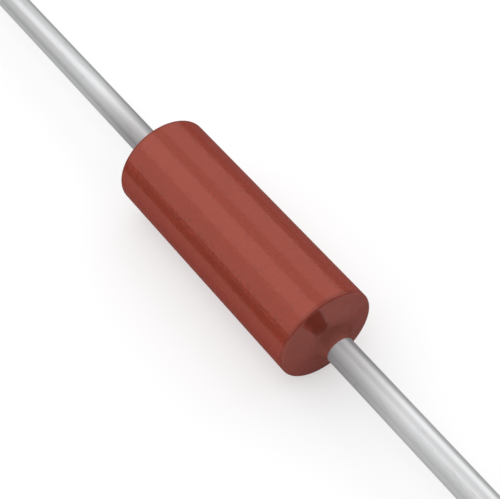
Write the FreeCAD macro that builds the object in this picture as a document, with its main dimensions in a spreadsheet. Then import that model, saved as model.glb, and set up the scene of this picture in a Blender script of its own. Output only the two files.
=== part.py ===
# Metal film resistor with axial leads, in millimetres.
#
# The origin is the middle of the body. +X runs along the leads, towards the right lead, and +Z is up.
# A ceramic rod carries the metal film. A spiral kerf, cut through the film, sets the resistance.
# A metal cap is pressed on each end of the rod, over the film, and a tinned lead is welded to each cap.
# A soft lacquer coats the film and most of the caps, and the epoxy jacket is moulded round all of it.
# The jacket's ends rise in a smooth trumpet shape and creep a short way up the leads.

import FreeCAD, Part

import math
import os
from collections import namedtuple

import Sketcher
from FreeCAD import Placement, Rotation, Vector

SHEET_NAME = "Sizes"
FULL_TURN = 360
HALF_TURN = 180
EDGE_MATCH = 1e-6

# Driving dimensions: lengths in millimetres, slopes in degrees
DRIVING_SIZES = {
    # Epoxy jacket
    "body_diameter": 2.29,
    "body_length": 6.10,
    "body_rim_radius": 0.07,
    # Trumpet ends of the jacket, with slopes counted from a plane square to the lead
    "end_rim_slope": 10,
    "end_foot_slope": 19.5,
    "end_foot_diameter": 1.19,
    "end_rise": 0.43,
    # Leads
    "lead_diameter": 0.64,
    "lead_reach": 38.10,
    "lead_tip_chamfer": 0.05,
    "weld_head_diameter": 0.95,
    "weld_head_rim": 0.12,
    "weld_head_length": 0.72,
    # Ceramic rod
    "core_diameter": 1.40,
    "core_length": 4.60,
    "core_chamfer": 0.08,
    # Metal film, thicker than the real one, and its spiral kerf
    "film_thickness": 0.04,
    "trim_kerf": 0.09,
    "trim_pitch": 0.50,
    "trim_land": 0.22,
    # Pressed end caps
    "cap_wall": 0.13,
    "cap_skirt": 0.95,
    "cap_corner_chamfer": 0.10,
    # Lacquer coat
    "coat_thickness": 0.10,
    "coat_setback": 0.30,
    "coat_taper": 0.25,
}

# A corner of a turned outline: its place along the axis, its distance from the axis,
# and the bend of the stretch to the next corner, or None where that stretch is straight.
Corner = namedtuple("Corner", "along out bend", defaults=(None,))

# A bend's radius and the side of the path that its centre lies on: 1 for left, -1 for right
Bend = namedtuple("Bend", "radius side")


class Size:
    """A size: its value now, and the formula that ties it to the sheet."""

    def __init__(self, value, formula):
        self.value = value
        self.formula = formula

    def __add__(self, other):
        return combine(self, "+", other, self.value + value_of(other))

    def __sub__(self, other):
        return combine(self, "-", other, self.value - value_of(other))

    def __mul__(self, other):
        return combine(self, "*", other, self.value * value_of(other))

    def __truediv__(self, other):
        return combine(self, "/", other, self.value / value_of(other))

    def __neg__(self):
        return Size(-self.value, f"(-1 * {self.formula})")


ZERO = Size(0, "0")


def value_of(number):
    return number.value if isinstance(number, Size) else number


def combine(first, sign, second, value):
    second_formula = second.formula if isinstance(second, Size) else str(second)
    return Size(value, f"({first.formula} {sign} {second_formula})")


def sine(slope):
    return Size(math.sin(math.radians(slope.value)), f"sin({slope.formula} * 1 deg)")


def cosine(slope):
    return Size(math.cos(math.radians(slope.value)), f"cos({slope.formula} * 1 deg)")


def tangent(slope):
    return Size(math.tan(math.radians(slope.value)), f"tan({slope.formula} * 1 deg)")


def write_sheet(doc):
    """Puts the driving dimensions into the sheet and returns them as sizes, by name."""
    sheet = doc.addObject("Spreadsheet::Sheet", SHEET_NAME)
    sizes = {}
    for row, (name, value) in enumerate(DRIVING_SIZES.items(), start=1):
        sheet.set(f"A{row}", name.replace("_", " "))
        sheet.set(f"B{row}", str(value))
        sheet.setAlias(f"B{row}", name)
        sizes[name] = Size(value, f"{SHEET_NAME}.{name}")
    doc.recompute()
    return sizes


doc = FreeCAD.newDocument("metal_film_resistor")
size = write_sheet(doc)

# Radii
body_radius = size["body_diameter"] / 2
end_foot_radius = size["end_foot_diameter"] / 2
lead_radius = size["lead_diameter"] / 2
weld_head_radius = size["weld_head_diameter"] / 2
core_radius = size["core_diameter"] / 2
film_radius = core_radius + size["film_thickness"]
cap_radius = film_radius + size["cap_wall"]
coat_radius = cap_radius + size["coat_thickness"]

# Places along the axis, counted from the middle of the body
body_end = size["body_length"] / 2
cap_seat = size["core_length"] / 2
cap_mouth = cap_seat - size["cap_skirt"]
cap_face = cap_seat + size["cap_wall"]
coat_end = cap_face - size["coat_setback"]
lead_tip = body_end + size["lead_reach"]

# The spiral kerf runs between the caps, with a land of whole film beside each
trim_end = cap_mouth - size["trim_land"]
trim_overshoot = size["film_thickness"] / 2

# Rounded rim: it leaves the body's cylinder squarely and meets the trumpet end at the end's outer slope
rim_start = body_end - size["body_rim_radius"] * cosine(size["end_rim_slope"])
rim_drop = size["body_rim_radius"] - size["body_rim_radius"] * sine(size["end_rim_slope"])
end_outer_radius = body_radius - rim_drop

# Trumpet end: a wide arc from the rim in to the foot, then a tight one up to the lead
foot_run = end_outer_radius - end_foot_radius
foot_rise = foot_run * tangent((size["end_rim_slope"] + size["end_foot_slope"]) / 2)
wide_end_arc = foot_run / (sine(size["end_foot_slope"]) - sine(size["end_rim_slope"]))
neck_run = end_foot_radius - lead_radius
neck_rise = size["end_rise"] - foot_rise
neck_chord_squared = neck_run * neck_run + neck_rise * neck_rise
neck_offset = neck_rise * cosine(size["end_foot_slope"]) - neck_run * sine(size["end_foot_slope"])
tight_end_arc = neck_chord_squared / (neck_offset * 2)


def add_body(label):
    body = doc.addObject("PartDesign::Body", label)
    body.Label = label
    return body


def add_sketch(body, name, plane_role):
    """An empty sketch on one of the body's own origin planes."""
    sketch = body.newObject("Sketcher::SketchObject", name)
    plane = next(item for item in body.Origin.OriginFeatures if item.Role == plane_role)
    sketch.AttachmentSupport = [(plane, "")]
    sketch.MapMode = "FlatFace"
    return sketch


def bind_constraint(sketch, kind, references, length):
    """Adds a dimension to the sketch and ties it to the sheet."""
    index = sketch.addConstraint(Sketcher.Constraint(kind, *references, length.value))
    sketch.setExpression(f"Constraints[{index}]", length.formula)


def stretch_between(corner, following):
    """The line or arc from one corner to the next, and its two end points in the path's order."""
    start = Vector(corner.along.value, corner.out.value, 0)
    finish = Vector(following.along.value, following.out.value, 0)
    if corner.bend is None:
        return Part.LineSegment(start, finish), (1, 2)
    chord = finish - start
    leftwards = Vector(-chord.y, chord.x, 0).normalize()
    radius = corner.bend.radius.value
    centre_distance = math.sqrt(radius ** 2 - (chord.Length / 2) ** 2)
    centre = (start + finish) / 2 + leftwards * centre_distance * corner.bend.side
    circle = Part.Circle(centre, Vector(0, 0, 1), radius)
    start_angle = math.atan2(start.y - centre.y, start.x - centre.x)
    finish_angle = math.atan2(finish.y - centre.y, finish.x - centre.x)
    if corner.bend.side > 0:
        return Part.ArcOfCircle(circle, start_angle, finish_angle), (1, 2)
    return Part.ArcOfCircle(circle, finish_angle, start_angle), (2, 1)


def draw_outline(sketch, path):
    """Draws a closed outline whose corners and bends follow the sheet."""
    following = path[1:] + path[:1]
    ends = []
    for corner, next_corner in zip(path, following):
        stretch, stretch_ends = stretch_between(corner, next_corner)
        sketch.addGeometry(stretch)
        ends.append(stretch_ends)
    for index, (first, last) in enumerate(ends):
        next_index = (index + 1) % len(path)
        joint = Sketcher.Constraint("Coincident", index, last, next_index, ends[next_index][0])
        sketch.addConstraint(joint)
    for index, (corner, (first, last)) in enumerate(zip(path, ends)):
        place_point(sketch, index, first, corner)
        if corner.bend is not None:
            bind_constraint(sketch, "Radius", (index,), corner.bend.radius)


def place_point(sketch, index, end, corner):
    """Ties one corner to its two distances, or to the sketch's own axes where one of them is zero."""
    for kind, distance, axis in (("DistanceX", corner.along, -2), ("DistanceY", corner.out, -1)):
        if distance.value == 0:
            sketch.addConstraint(Sketcher.Constraint("PointOnObject", index, end, axis))
        else:
            bind_constraint(sketch, kind, (-1, 1, index, end), distance)


def draw_circle(sketch, radius):
    """Draws a circle round the sketch's origin."""
    index = sketch.addGeometry(Part.Circle(Vector(0, 0, 0), Vector(0, 0, 1), radius.value))
    sketch.addConstraint(Sketcher.Constraint("Coincident", index, 3, -1, 1))
    bind_constraint(sketch, "Radius", (index,), radius)


def mirrored(path):
    """The same path on the other side of the middle, walked the other way."""
    bends_back = [corner.bend for corner in path[:-1]][::-1] + [None]
    return [Corner(-corner.along, corner.out, bend) for corner, bend in zip(path[::-1], bends_back)]


def turn_outline(body, name, path):
    """Turns a closed outline about the lead axis into a solid of revolution."""
    sketch = add_sketch(body, f"{name}_outline", "XZ_Plane")
    draw_outline(sketch, path)
    turned = body.newObject("PartDesign::Revolution", name)
    turned.Profile = sketch
    turned.ReferenceAxis = (sketch, ["H_Axis"])
    turned.Angle = FULL_TURN
    body.Tip = turned
    doc.recompute()


def circular_edges(feature, radius, places):
    """Names of the feature's circular edges with this radius at these places along the axis."""
    names = []
    for number, edge in enumerate(feature.Shape.Edges, start=1):
        if not isinstance(edge.Curve, Part.Circle):
            continue
        same_radius = abs(edge.Curve.Radius - radius.value) < EDGE_MATCH
        along = edge.Curve.Center.x
        if same_radius and any(abs(along - place.value) < EDGE_MATCH for place in places):
            names.append(f"Edge{number}")
    if len(names) != len(places):
        raise ValueError(f"{feature.Name}: {len(names)} edges found where {len(places)} were expected")
    return names


def chamfer_edges(body, base, name, edges, width):
    chamfer = body.newObject("PartDesign::Chamfer", name)
    chamfer.Base = (base, edges)
    chamfer.setExpression("Size", width.formula)
    body.Tip = chamfer


def place_at_end(body, along, side):
    """Puts a piece, modelled pointing out along +X, at its end of the body: 1 for right, -1 for left."""
    turn = 0 if side > 0 else HALF_TURN
    body.Placement = Placement(Vector(along.value * side, 0, 0), Rotation(Vector(0, 0, 1), turn))
    body.setExpression("Placement.Base.x", (along * side).formula)


def kerf_outline(inner_radius):
    """Section of the spiral kerf at its left end, from the given radius to just past the film."""
    outer_radius = film_radius + trim_overshoot
    near = -trim_end
    far = size["trim_kerf"] - trim_end
    return [
        Corner(near, inner_radius),
        Corner(far, inner_radius),
        Corner(far, outer_radius),
        Corner(near, outer_radius),
    ]


def wind_kerf(body, kind, name, inner_radius):
    """Runs the kerf's section along its spiral, to cut it out of the film or to fill it with lacquer."""
    sketch = add_sketch(body, f"{name}_section", "XZ_Plane")
    draw_outline(sketch, kerf_outline(inner_radius))
    spiral = body.newObject(kind, name)
    spiral.Profile = sketch
    spiral.ReferenceAxis = (sketch, ["H_Axis"])
    spiral.Mode = "pitch-height-angle"
    spiral.setExpression("Pitch", size["trim_pitch"].formula)
    spiral.setExpression("Height", (trim_end * 2 - size["trim_kerf"]).formula)
    body.Tip = spiral
    doc.recompute()


def make_core():
    """Plain ceramic rod with chamfered ends."""
    body = add_body("ceramic_core")
    sketch = add_sketch(body, "core_section", "YZ_Plane")
    draw_circle(sketch, core_radius)
    rod = body.newObject("PartDesign::Pad", "core_rod")
    rod.Profile = sketch
    rod.SideType = "Symmetric"
    rod.setExpression("Length", size["core_length"].formula)
    doc.recompute()
    ends = circular_edges(rod, core_radius, (cap_seat, -cap_seat))
    chamfer_edges(body, rod, "core_end_chamfer", ends, size["core_chamfer"])
    return body


def make_film():
    """Metal film on the rod's round face, cut into a spiral ribbon between the caps."""
    body = add_body("resistive_film")
    sketch = add_sketch(body, "film_section", "YZ_Plane")
    draw_circle(sketch, core_radius)
    draw_circle(sketch, film_radius)
    tube = body.newObject("PartDesign::Pad", "film_tube")
    tube.Profile = sketch
    tube.SideType = "Symmetric"
    tube.setExpression("Length", (size["core_length"] - size["core_chamfer"] * 2).formula)
    doc.recompute()
    wind_kerf(body, "PartDesign::SubtractiveHelix", "spiral_trim", core_radius - trim_overshoot)
    return body


def make_cap(label, side):
    """Deep-drawn cup: a skirt pressed over the film, and an end wall that carries the lead."""
    body = add_body(label)
    blank_sketch = add_sketch(body, "cap_section", "YZ_Plane")
    draw_circle(blank_sketch, cap_radius)
    blank = body.newObject("PartDesign::Pad", "cap_blank")
    blank.Profile = blank_sketch
    blank.SideType = "Two sides"
    blank.setExpression("Length", size["cap_wall"].formula)
    blank.setExpression("Length2", size["cap_skirt"].formula)
    bore_sketch = add_sketch(body, "cap_bore_section", "YZ_Plane")
    draw_circle(bore_sketch, film_radius)
    bore = body.newObject("PartDesign::Pocket", "cap_bore")
    bore.Profile = bore_sketch
    bore.Type = "ThroughAll"
    doc.recompute()
    rim = circular_edges(bore, cap_radius, (size["cap_wall"],))
    chamfer_edges(body, bore, "cap_corner", rim, size["cap_corner_chamfer"])
    place_at_end(body, cap_seat, side)
    return body


def make_lead(label, side):
    """Straight tinned wire: a weld head that tapers down from the cap, and a cut tip with its edge broken."""
    body = add_body(label)
    length = lead_tip - cap_face
    turn_outline(body, "lead_wire", [
        Corner(ZERO, ZERO),
        Corner(length, ZERO),
        Corner(length, lead_radius - size["lead_tip_chamfer"]),
        Corner(length - size["lead_tip_chamfer"], lead_radius),
        Corner(size["weld_head_length"], lead_radius),
        Corner(size["weld_head_rim"], weld_head_radius),
        Corner(ZERO, weld_head_radius),
    ])
    place_at_end(body, cap_face, side)
    return body


def make_coat():
    """Lacquer sleeve: it covers the film, fills its kerf, laps over both skirts and thins out at its ends."""
    body = add_body("lacquer_coat")
    right_half = [
        Corner(coat_end - size["coat_taper"], coat_radius),
        Corner(coat_end, cap_radius),
        Corner(cap_mouth, cap_radius),
        Corner(cap_mouth, film_radius),
    ]
    turn_outline(body, "lacquer_sleeve", right_half + mirrored(right_half))
    wind_kerf(body, "PartDesign::AdditiveHelix", "kerf_filling", core_radius)
    return body


def jacket_end():
    """Right end of the jacket's outer face, from its rounded rim up to the lead."""
    return [
        Corner(rim_start, body_radius, Bend(size["body_rim_radius"], -1)),
        Corner(body_end, end_outer_radius, Bend(wide_end_arc, 1)),
        Corner(body_end + foot_rise, end_foot_radius, Bend(tight_end_arc, 1)),
        Corner(body_end + size["end_rise"], lead_radius),
    ]


def jacket_cavity():
    """Right half of the jacket's inside: it fits the lead, its weld head, the cap and the lacquer."""
    return [
        Corner(cap_face + size["weld_head_length"], lead_radius),
        Corner(cap_face + size["weld_head_rim"], weld_head_radius),
        Corner(cap_face, weld_head_radius),
        Corner(cap_face, cap_radius - size["cap_corner_chamfer"]),
        Corner(cap_face - size["cap_corner_chamfer"], cap_radius),
        Corner(coat_end, cap_radius),
        Corner(coat_end - size["coat_taper"], coat_radius),
    ]


def make_jacket():
    """Moulded epoxy body: a cylinder with small rounded rims, trumpet ends and a close-fitting inside."""
    body = add_body("moulded_jacket")
    right_half = jacket_end() + jacket_cavity()
    turn_outline(body, "moulding", right_half + mirrored(right_half))
    return body


def check_document():
    """Stops the build where any object has failed."""
    for item in doc.Objects:
        if "Invalid" in item.State or "Error" in item.State:
            raise RuntimeError(f"{item.Name} could not be built: {item.State}")


def check_piece(piece):
    """Stops the build where a piece isn't one valid solid."""
    shape = piece.Shape
    if shape.isNull() or not shape.isValid() or len(shape.Solids) != 1:
        raise RuntimeError(f"{piece.Label} isn't one valid solid")


pieces = [
    make_jacket(),
    make_coat(),
    make_core(),
    make_film(),
    make_cap("left_end_cap", -1),
    make_cap("right_end_cap", 1),
    make_lead("left_lead", -1),
    make_lead("right_lead", 1),
]

doc.recompute()
check_document()

os.makedirs("parts", exist_ok=True)
for piece in pieces:
    check_piece(piece)
    piece.Shape.exportStep(f"parts/{piece.Label}.step")
    print(f"{piece.Label}: {piece.Shape.Volume:.4f} cubic millimetres")
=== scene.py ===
# Looks of a metal film resistor with axial leads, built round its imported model.
#
# Lengths are in metres. X is the lead axis, and the middle of the body is the origin.
# The jacket and both leads are modelled again, finely enough for their gloss, and replace their solids.
# The lacquer, rod, film and caps inside the jacket keep their solids and get their own finishes.

from math import asin, cos, hypot, pi, radians, sin

import bpy
from mathutils import Matrix, Vector


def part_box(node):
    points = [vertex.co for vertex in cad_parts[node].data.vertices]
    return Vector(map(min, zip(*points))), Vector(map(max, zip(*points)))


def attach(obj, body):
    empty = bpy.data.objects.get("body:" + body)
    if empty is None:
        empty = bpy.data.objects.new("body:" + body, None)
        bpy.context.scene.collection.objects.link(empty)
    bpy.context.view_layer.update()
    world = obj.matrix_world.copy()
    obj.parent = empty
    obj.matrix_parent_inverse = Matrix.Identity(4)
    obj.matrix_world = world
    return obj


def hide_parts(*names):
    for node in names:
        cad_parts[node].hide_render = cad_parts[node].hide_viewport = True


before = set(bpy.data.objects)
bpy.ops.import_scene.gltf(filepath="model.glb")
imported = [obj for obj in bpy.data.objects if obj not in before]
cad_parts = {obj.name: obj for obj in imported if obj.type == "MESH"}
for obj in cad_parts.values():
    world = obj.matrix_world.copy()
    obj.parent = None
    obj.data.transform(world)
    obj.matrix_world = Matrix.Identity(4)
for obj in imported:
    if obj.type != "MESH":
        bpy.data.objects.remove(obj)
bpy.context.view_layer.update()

MM = 0.001
QUARTER_TURN = pi / 2
RIGHT, LEFT = 1, -1

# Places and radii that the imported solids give
body_radius = -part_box("moulded_jacket")[0].z
lead_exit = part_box("moulded_jacket")[1].x
lead_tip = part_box("right_lead")[1].x
cap_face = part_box("right_lead")[0].x
weld_head_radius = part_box("right_lead")[1].y
cap_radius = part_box("right_end_cap")[1].y
coat_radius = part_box("lacquer_coat")[1].y
coat_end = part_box("lacquer_coat")[1].x

# Jacket, with slopes counted from a plane square to the lead
body_end = 3.05 * MM
rim_bend = 0.07 * MM
rim_slope = radians(10)
foot_slope = radians(19.5)
foot_radius = 0.595 * MM
cap_chamfer = 0.10 * MM
coat_taper = 0.25 * MM

# Leads
lead_radius = 0.32 * MM
weld_head_rim = 0.12 * MM
weld_head_length = 0.72 * MM
tip_break = 0.05 * MM

# Fineness of the turned meshes
JACKET_SIDES = 256
RIM_STEPS = 10
WIDE_BEND_STEPS = 24
TIGHT_BEND_STEPS = 24
LEAD_SIDES = 128
TIP_STEPS = 3
WALL_MARGIN = 0.03 * MM
SAME_PLACE = 0.003 * MM
SMOOTH_BELOW = radians(30)


# Modelling

def start_modelling():
    """Leaves nothing selected, so that an operator acts on the new piece alone."""
    bpy.ops.object.select_all(action="DESELECT")


def edit(piece):
    bpy.context.view_layer.objects.active = piece
    bpy.ops.object.mode_set(mode="EDIT")
    bpy.ops.mesh.select_mode(type="VERT")


def select_points(piece, chosen, kind="VERT"):
    """Selects the points whose places are chosen, or the edges between them."""
    bpy.ops.mesh.select_all(action="DESELECT")
    bpy.ops.object.mode_set(mode="OBJECT")
    for point in piece.data.vertices:
        point.select = chosen(point.co)
    bpy.ops.object.mode_set(mode="EDIT")
    bpy.ops.mesh.select_mode(type=kind)


def select_ring(piece, along):
    """Selects the ring of points at this place along the axis."""
    select_points(piece, lambda place: abs(place.x - along) < SAME_PLACE)


def draw_out(corners, start, side):
    """Extrudes the selected ring from corner to corner: each is (place along the axis, radius)."""
    along, radius = start
    for next_along, next_radius in corners:
        growth = next_radius / radius
        bpy.ops.mesh.extrude_region_move(
            TRANSFORM_OT_translate={"value": ((next_along - along) * side, 0, 0)}
        )
        bpy.ops.transform.resize(value=(1, growth, growth), center_override=(0, 0, 0))
        along, radius = next_along, next_radius


def finish_mesh(piece, name):
    bpy.ops.mesh.select_all(action="SELECT")
    bpy.ops.mesh.normals_make_consistent(inside=False)
    bpy.ops.object.mode_set(mode="OBJECT")
    bpy.ops.object.shade_smooth_by_angle(angle=SMOOTH_BELOW)
    piece.name = name
    piece.data.name = name


def bend(centre, radius, first, last, steps):
    """Corners along an arc, after its first point. With a negative radius it hollows the outline."""
    along, out = centre
    angles = [first + (last - first) * step / steps for step in range(1, steps + 1)]
    return [(along + radius * cos(angle), out + radius * sin(angle)) for angle in angles]


def jacket_outline():
    """Right half of the jacket's outline, from its rim out to the lead and back along its inside."""
    rim_centre = (body_end - rim_bend * cos(rim_slope), body_radius - rim_bend)
    rim = bend(rim_centre, rim_bend, QUARTER_TURN, rim_slope, RIM_STEPS)
    shoulder_along, shoulder_radius = rim[-1]
    wide = (shoulder_radius - foot_radius) / (sin(foot_slope) - sin(rim_slope))
    wide_centre = (shoulder_along + wide * cos(rim_slope), shoulder_radius + wide * sin(rim_slope))
    dish = bend(wide_centre, -wide, rim_slope, foot_slope, WIDE_BEND_STEPS)
    foot_along, _ = dish[-1]
    run, rise = foot_radius - lead_radius, lead_exit - foot_along
    tight = hypot(run, rise) ** 2 / (rise * cos(foot_slope) - run * sin(foot_slope)) / 2
    tight_centre = (foot_along + tight * cos(foot_slope), foot_radius + tight * sin(foot_slope))
    exit_slope = asin((tight_centre[1] - lead_radius) / tight)
    neck = bend(tight_centre, -tight, foot_slope, exit_slope, TIGHT_BEND_STEPS)
    inside = [
        (cap_face + weld_head_length, lead_radius),
        (cap_face + weld_head_rim, weld_head_radius),
        (cap_face, weld_head_radius),
        (cap_face, cap_radius - cap_chamfer),
        (cap_face - cap_chamfer, cap_radius),
        (coat_end, cap_radius),
        (coat_end - coat_taper, coat_radius),
    ]
    return [(rim_centre[0], body_radius)] + rim + dish + neck + inside


def model_jacket():
    """Turned shell: a tube for the body, drawn out over both ends and joined along the inside."""
    start_modelling()
    outline = jacket_outline()
    wall_end = outline[0][0] - WALL_MARGIN
    bpy.ops.mesh.primitive_cylinder_add(
        vertices=JACKET_SIDES, radius=body_radius, depth=wall_end * 2,
        end_fill_type="NOTHING", rotation=(0, QUARTER_TURN, 0),
    )
    jacket = bpy.context.object
    bpy.ops.object.transform_apply(location=True, rotation=True, scale=True)
    edit(jacket)
    for side in (RIGHT, LEFT):
        select_ring(jacket, wall_end * side)
        draw_out(outline, (wall_end, body_radius), side)
    crown_along, crown_radius = outline[-1]

    def on_crown(place):
        inside = hypot(place.y, place.z) < crown_radius + SAME_PLACE
        return inside and abs(abs(place.x) - crown_along) < SAME_PLACE

    select_points(jacket, on_crown, kind="EDGE")
    bpy.ops.mesh.bridge_edge_loops()
    finish_mesh(jacket, "epoxy_jacket")
    return jacket


def model_lead(side, name):
    """Straight wire: a rod with its tip's edge broken, drawn out at its other end into the weld head."""
    start_modelling()
    root = cap_face + weld_head_length
    bpy.ops.mesh.primitive_cylinder_add(
        vertices=LEAD_SIDES, radius=lead_radius, depth=lead_tip - root,
        location=((lead_tip + root) / 2 * side, 0, 0), rotation=(0, QUARTER_TURN, 0),
    )
    lead = bpy.context.object
    bpy.ops.object.transform_apply(location=True, rotation=True, scale=True)
    edit(lead)
    select_ring(lead, root * side)
    head = [(cap_face + weld_head_rim, weld_head_radius), (cap_face, weld_head_radius)]
    draw_out(head, (root, lead_radius), side)
    select_ring(lead, lead_tip * side)
    bpy.ops.mesh.bevel(offset=tip_break, segments=TIP_STEPS, affect="EDGES")
    finish_mesh(lead, name)
    return lead


# Finishes

NOISE_LOW, NOISE_HIGH = 0.3, 0.7


class Signal:
    """A value that a finish works out over the surface. Arithmetic on it adds Math nodes."""

    def __init__(self, finish, socket):
        self.finish = finish
        self.socket = socket

    def __add__(self, other):
        return self.finish.maths("ADD", self, other)

    def __radd__(self, other):
        return self.finish.maths("ADD", other, self)

    def __sub__(self, other):
        return self.finish.maths("SUBTRACT", self, other)

    def __rsub__(self, other):
        return self.finish.maths("SUBTRACT", other, self)

    def __mul__(self, other):
        return self.finish.maths("MULTIPLY", self, other)

    def __rmul__(self, other):
        return self.finish.maths("MULTIPLY", other, self)


class Finish:
    """A procedural material, worked out from places on the piece."""

    def __init__(self, name, **uniform):
        self.material = bpy.data.materials.new(name)
        self.material.use_nodes = True
        self.nodes = self.material.node_tree.nodes
        self.shader = self.nodes["Principled BSDF"]
        for socket, value in uniform.items():
            self.shader.inputs[socket.replace("_", " ")].default_value = value
        self.place = self.node("ShaderNodeTexCoord", output="Object")

    def node(self, kind, settings=None, sockets=None, output=0):
        """Adds a node: its settings first, then the values or links of its sockets."""
        node = self.nodes.new(kind)
        for setting, value in (settings or {}).items():
            setattr(node, setting, value)
        for socket, value in (sockets or {}).items():
            self.feed(node.inputs[socket], value)
        return Signal(self, node.outputs[output])

    def feed(self, socket, value):
        if isinstance(value, Signal):
            self.material.node_tree.links.new(value.socket, socket)
        else:
            socket.default_value = value

    def drive(self, socket, value):
        """Feeds one of the shader's own sockets."""
        self.feed(self.shader.inputs[socket], value)

    def maths(self, operation, first, second=0.0):
        return self.node("ShaderNodeMath", {"operation": operation}, {0: first, 1: second})

    def noise(self, grain, detail=2.0, roughness=0.5, seed=0.0):
        """Noise from 0 to 1 whose grain is that long along X, Y and Z."""
        scale = tuple(1 / length for length in grain)
        layout = {"Vector": self.place, "Scale": scale, "Location": (seed, seed, seed)}
        stretched = self.node("ShaderNodeMapping", None, layout)
        sockets = {"Vector": stretched, "Scale": 1.0, "Detail": detail, "Roughness": roughness}
        return self.node("ShaderNodeTexNoise", {"normalize": True}, sockets)

    def even_noise(self, grain, **look):
        """Noise whose grain is as long every way."""
        return self.noise((grain, grain, grain), **look)

    def coordinate(self, axis):
        """Place along X, Y or Z."""
        return self.node("ShaderNodeSeparateXYZ", None, {"Vector": self.place}, output=axis)

    def distance_along(self):
        """Distance from the middle of the body along the lead axis, to either side."""
        return self.maths("ABSOLUTE", self.coordinate("X"))

    def between(self, value, low, high, at_low=0.0, at_high=1.0):
        """Carries a value smoothly from one span to another, held at its ends."""
        sockets = {"Value": value, "From Min": low, "From Max": high, "To Min": at_low, "To Max": at_high}
        return self.node("ShaderNodeMapRange", {"interpolation_type": "SMOOTHSTEP"}, sockets)

    def spread(self, noise, low, high):
        """Carries noise, whose ends are rare, to this span."""
        return self.between(noise, NOISE_LOW, NOISE_HIGH, low, high)

    def stripe(self, turn, width, twist=0.0):
        """A soft stripe along the wire, which fades out over its width to each side.

        Its turn is counted from straight up, towards +Y, at mid-length. Its twist is its turn over a metre.
        """
        round_axis = self.maths("ARCTAN2", self.coordinate("Y"), self.coordinate("Z"))
        aside = self.maths("ABSOLUTE", round_axis - self.coordinate("X") * twist - turn)
        return self.between(aside, 0.0, width, 1.0, 0.0)

    def tint(self, base, shade):
        """Scales a blended colour."""
        return self.node("ShaderNodeVectorMath", {"operation": "SCALE"}, {0: base, "Scale": shade})

    def blend(self, share, first, second):
        """Mixes two colours."""
        sockets = {0: share, 6: first, 7: second}
        return self.node("ShaderNodeMix", {"data_type": "RGBA"}, sockets, output=2)

    def relief(self, height, depth):
        """Turns a height from 0 to 1 into relief that deep."""
        sockets = {"Height": height, "Distance": depth, "Strength": 1.0}
        self.drive("Normal", self.node("ShaderNodeBump", None, sockets))


def colour(red, green, blue):
    return (red, green, blue, 1.0)


def grey(level):
    return colour(level, level, level)


def epoxy_finish():
    """Red-brown moulded epoxy whose pigment tints its highlights, under a thin clear skin.

    The ends are glossier and gently folded, and the necks are matt. Painted shade darkens a line round each
    rim and, less, the ends.
    """
    epoxy = Finish(
        "red_brown_epoxy", Metallic=0.28, Specular_IOR_Level=0.0, Specular_Tint=grey(0.3),
        Coat_IOR=1.5, Coat_Roughness=0.08,
    )
    on_end = epoxy.between(epoxy.distance_along(), body_end - rim_bend, body_end)
    # Painted shade: the colour is darker in a line just before each rim
    rim_shade_start = body_end - 0.11 * MM
    painted_rim_shade = epoxy.between(epoxy.distance_along(), rim_shade_start, body_end - rim_bend)
    neck_start, neck_full = lead_exit - 0.35 * MM, lead_exit - 0.22 * MM
    on_neck = epoxy.between(epoxy.distance_along(), neck_start, neck_full)

    red_brown, neck_brown = colour(0.254, 0.038, 0.0205), colour(0.225, 0.066, 0.050)
    mottle = epoxy.even_noise(0.35 * MM, detail=3.0)
    # The mottle is the epoxy's own tone. The colour is painted darker on the rims and, less, over the ends,
    # as painted shade
    shade = (0.94 + 0.12 * mottle) * (1 - 0.22 * painted_rim_shade + 0.13 * on_end)
    epoxy.drive("Base Color", epoxy.tint(epoxy.blend(on_neck, red_brown, neck_brown), shade))

    worn = epoxy.spread(epoxy.even_noise(0.2 * MM, seed=3.0), 0.14, 0.20)
    epoxy.drive("Roughness", worn - 0.08 * on_end + 0.34 * on_neck)

    facing = epoxy.node("ShaderNodeLayerWeight", None, {"Blend": 0.5}, output="Facing")
    sheen = epoxy.between(facing, 0.2, 0.75, 0.54, 0.12)
    at_edge = epoxy.between(facing, 0.70, 0.90, 1.0, 0.1)
    epoxy.drive("Coat Weight", sheen * at_edge * (1 + 0.5 * on_end) * (1 - 0.9 * on_neck))

    skin = epoxy.noise((0.09 * MM, 0.12 * MM, 0.12 * MM), detail=1.0, seed=7.0)
    folds = epoxy.even_noise(0.4 * MM, detail=1.0, seed=1.0)
    epoxy.relief(skin * (1.7 - 1.2 * on_end) + folds * (3.6 * on_end), 0.012 * MM)
    return epoxy.material


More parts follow.
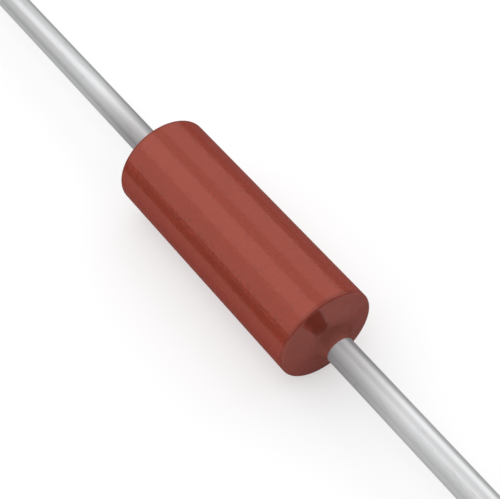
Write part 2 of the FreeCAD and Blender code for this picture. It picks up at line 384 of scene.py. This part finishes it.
def tin_finish():
    """Drawn and tinned wire with soft lines along it, and one painted highlight: a bright line painted
    along it.

    It is painted darker near the body as painted shade, and warmer there as a painted reflection of the red
    body.
    The left lead is painted a little brighter, with a stronger painted highlight and more painted shade on
    its sides.
    """
    tin = Finish("drawn_tin_plate", Metallic=1.0, Specular_Tint=grey(0.7))
    clear = tin.between(tin.distance_along(), lead_exit - 0.2 * MM, lead_exit + 2.6 * MM)
    on_left = tin.between(tin.coordinate("X"), -body_end, body_end, 1.0, 0.0)

    lines = tin.noise((30 * MM, 0.09 * MM, 0.09 * MM), detail=2.0)
    # Painted highlight: a bright stripe painted along the wire, twisting slowly, stronger on the left lead
    painted_highlight = tin.stripe(radians(2), radians(22), twist=radians(1.57) / MM)
    scratch = tin.stripe(radians(-23), radians(2.5))
    die_line = tin.stripe(radians(-65), radians(4))
    # Painted shade: two dull stripes painted along the wire's sides, stronger on the left lead; the low one
    # is on the left lead only
    painted_shade_stripe = tin.stripe(radians(44), radians(22))
    painted_shade_low_stripe = tin.stripe(radians(-62), radians(18))
    scuffs = tin.between(tin.noise((0.35 * MM, 0.06 * MM, 0.06 * MM), seed=5.0), 0.62, 0.70)

    lines_and_painted_highlight = 0.16 * lines + painted_highlight * (0.32 + 0.12 * on_left) + 0.10 * scratch
    painted_shade_on_sides = painted_shade_stripe * (0.14 + 0.18 * on_left) + painted_shade_low_stripe * (0.16 * on_left)
    marks_and_painted_shade = 0.12 * die_line + 0.10 * scuffs + painted_shade_on_sides
    # Painted shade: the wire is painted darker near the body and brighter further out, and the left lead a
    # little brighter
    painted_shade_near_body = 1.15 * clear + (1 - clear) * (0.65 + 0.07 * on_left)
    shade = (0.92 + lines_and_painted_highlight - marks_and_painted_shade) * painted_shade_near_body * (1.0 + 0.03 * on_left)
    # Painted reflection: the tin near the body is painted warmer, like the red body mirrored in it
    tin_with_painted_body_reflection, cool_tin = colour(0.434, 0.422, 0.428), colour(0.426, 0.428, 0.432)
    tin.drive("Base Color", tin.tint(tin.blend(clear, tin_with_painted_body_reflection, cool_tin), shade))
    tin.drive("Roughness", tin.spread(lines, 0.42, 0.48))
    tin.relief(lines, 0.0004 * MM)
    return tin.material


def lacquer_finish():
    """Soft cream lacquer, brushed on."""
    lacquer = Finish("cream_lacquer", IOR=1.48)
    brushed = lacquer.noise((0.08 * MM, 0.4 * MM, 0.4 * MM), detail=3.0)
    thin, thick = colour(0.66, 0.56, 0.40), colour(0.76, 0.67, 0.50)
    lacquer.drive("Base Color", lacquer.blend(brushed, thin, thick))
    lacquer.drive("Roughness", lacquer.spread(brushed, 0.42, 0.56))
    lacquer.relief(brushed, 0.004 * MM)
    return lacquer.material


def ceramic_finish():
    """Fired white alumina with a fine dry grain."""
    ceramic = Finish("white_alumina", IOR=1.7)
    grain = ceramic.even_noise(0.03 * MM, detail=4.0, roughness=0.7)
    pit, crest = colour(0.80, 0.79, 0.75), colour(0.90, 0.89, 0.86)
    ceramic.drive("Base Color", ceramic.blend(grain, pit, crest))
    ceramic.drive("Roughness", ceramic.spread(grain, 0.62, 0.74))
    ceramic.relief(grain, 0.002 * MM)
    return ceramic.material


def film_finish():
    """Thin dark nickel-chromium film over the rod's grain."""
    film = Finish("nickel_chromium_film", Metallic=1.0)
    grain = film.even_noise(0.03 * MM, detail=4.0, roughness=0.7)
    pit, crest = colour(0.20, 0.19, 0.18), colour(0.30, 0.29, 0.28)
    film.drive("Base Color", film.blend(grain, pit, crest))
    film.drive("Roughness", film.spread(grain, 0.36, 0.48))
    film.relief(grain, 0.001 * MM)
    return film.material


def cap_finish():
    """Pressed and tinned steel with faint drawing marks along its skirt."""
    cap = Finish("pressed_tin_plate", Metallic=1.0)
    marks = cap.noise((0.8 * MM, 0.03 * MM, 0.03 * MM), detail=3.0)
    marks_and_painted_shade, lines_and_painted_highlight = colour(0.58, 0.58, 0.57), colour(0.68, 0.68, 0.67)
    cap.drive("Base Color", cap.blend(marks, marks_and_painted_shade, lines_and_painted_highlight))
    cap.drive("Roughness", cap.spread(marks, 0.26, 0.38))
    cap.relief(marks, 0.001 * MM)
    return cap.material


def wear(piece, material):
    piece.data.materials.clear()
    piece.data.materials.append(material)


# The resistor

epoxy = epoxy_finish()
tin = tin_finish()

jacket = model_jacket()
wear(jacket, epoxy)
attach(jacket, "root")
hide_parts("moulded_jacket")

for side, node in ((RIGHT, "right_lead"), (LEFT, "left_lead")):
    lead = model_lead(side, f"{node}_wire")
    wear(lead, tin)
    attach(lead, "root")
    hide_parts(node)

cap_plate = cap_finish()
for node, material in (
    ("lacquer_coat", lacquer_finish()),
    ("ceramic_core", ceramic_finish()),
    ("resistive_film", film_finish()),
    ("left_end_cap", cap_plate),
    ("right_end_cap", cap_plate),
):
    wear(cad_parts[node], material)


# Studio

# Softboxes beside the body hang a metre from it, moved along the leads to where it mirrors them to the view
bank_along = -0.755
bank_distance = 1.0
bank_length = 2.0

floor_size = 4.0
white_share = 0.5

# Grey card on the floor beside the body
card_along = -2.5 * MM
card_distance = 4.8 * MM
card_length = 8.0 * MM
card_height = 1.6 * MM

camera_place = Vector((16.1411, -11.3645, 23.3367)) * MM
camera_aim = Vector((0.2500, 0.0703, 0.0)) * MM
sensor_width = 36
focal_length = 101.626


def lay_floor():
    """A plain pale floor, which the body lies on.

    The camera and the gloss see it half filled with white, so that it is white but for the object's shadow.
    """
    start_modelling()
    bpy.ops.mesh.primitive_plane_add(size=floor_size, location=(0, 0, -body_radius))
    floor = bpy.context.object
    floor.name = "studio_floor"
    paper = Finish("pale_floor", Roughness=0.9, Specular_IOR_Level=0.0)
    paper.drive("Base Color", grey(0.95))
    lit = Signal(paper, paper.shader.outputs["BSDF"])
    white = paper.node("ShaderNodeEmission", None, {"Color": grey(1), "Strength": 1.0})
    looks = ("Is Camera Ray", "Is Glossy Ray", "Is Transmission Ray")
    seen_by = [paper.node("ShaderNodeLightPath", output=look) for look in looks]
    share = white_share * (seen_by[0] + seen_by[1] + seen_by[2])
    seen = paper.node("ShaderNodeMixShader", None, {0: share, 1: lit, 2: white})
    paper.feed(paper.nodes["Material Output"].inputs["Surface"], seen)
    wear(floor, paper.material)


def stand_card():
    """A low grey card along the body's left side, seen by gloss alone, for the body's lower dark band."""
    start_modelling()
    bpy.ops.mesh.primitive_plane_add(size=1.0, rotation=(QUARTER_TURN, 0, 0))
    card = bpy.context.object
    card.name = "grey_card"
    card.dimensions = (card_length, card_height, 0)
    bpy.ops.object.transform_apply(location=False, rotation=True, scale=True)
    card.location = (card_along, -card_distance, card_height / 2 - body_radius)
    board = Finish("grey_board", Roughness=0.9, Specular_IOR_Level=0.0)
    board.drive("Base Color", grey(0.32))
    wear(card, board.material)
    card.visible_camera = False
    card.visible_diffuse = False
    card.visible_shadow = False


def hang_softbox(name, centre, outward, long_side, length, width, brightness):
    """A softbox with its back to the outward direction, and its length along its long side."""
    lamp = bpy.data.lights.new(name, "AREA")
    lamp.shape = "RECTANGLE"
    lamp.size = length
    lamp.size_y = width
    lamp.energy = brightness * length * width * pi
    softbox = bpy.data.objects.new(name, lamp)
    bpy.context.collection.objects.link(softbox)
    back = Vector(outward).normalized()
    across = back.cross(Vector(long_side)).normalized()
    softbox.location = centre
    softbox.rotation_euler = Matrix((across.cross(back), across, back)).transposed().to_euler()


def hang_beside(name, roll, width, brightness):
    """A softbox parallel to the lead axis. Roll is counted from straight up, towards +Y."""
    outward = Vector((0, sin(roll), cos(roll)))
    centre = outward * bank_distance + Vector((bank_along, 0, 0))
    hang_softbox(name, centre, outward, (1, 0, 0), bank_length, width, brightness)


def light_room(brightness):
    """Even grey light from all round."""
    room = bpy.data.worlds.new("soft_grey_room")
    room.use_nodes = True
    room.node_tree.nodes["Background"].inputs["Color"].default_value = grey(1)
    room.node_tree.nodes["Background"].inputs["Strength"].default_value = brightness
    bpy.context.scene.world = room


def set_camera():
    view = bpy.data.cameras.new("product_view")
    view.sensor_width = sensor_width
    view.lens = focal_length
    view.clip_start = 1 * MM
    view.clip_end = 10
    camera = bpy.data.objects.new("product_view", view)
    bpy.context.collection.objects.link(camera)
    camera.location = camera_place
    camera.rotation_euler = (camera_aim - camera_place).to_track_quat("-Z", "Y").to_euler()
    bpy.context.scene.camera = camera


lay_floor()
stand_card()
hang_beside("left_softbox", roll=radians(-20), width=0.728, brightness=1.55)
hang_beside("top_softbox", roll=radians(12), width=0.425, brightness=0.85)
hang_beside("right_softbox", roll=radians(47), width=0.849, brightness=1.28)
hang_beside("low_left_softbox", roll=radians(-62), width=0.808, brightness=1.0)
hang_beside("low_right_softbox", roll=radians(79), width=0.33, brightness=0.45)
hang_softbox(
    "end_softbox", centre=(0.5, 0.25, 0.866), outward=(0.5, 0, 0.866), long_side=(0, 1, 0),
    length=1.7, width=0.52, brightness=0.45,
)
light_room(0.34)
set_camera()
bpy.context.scene.view_settings.view_transform = "Standard"
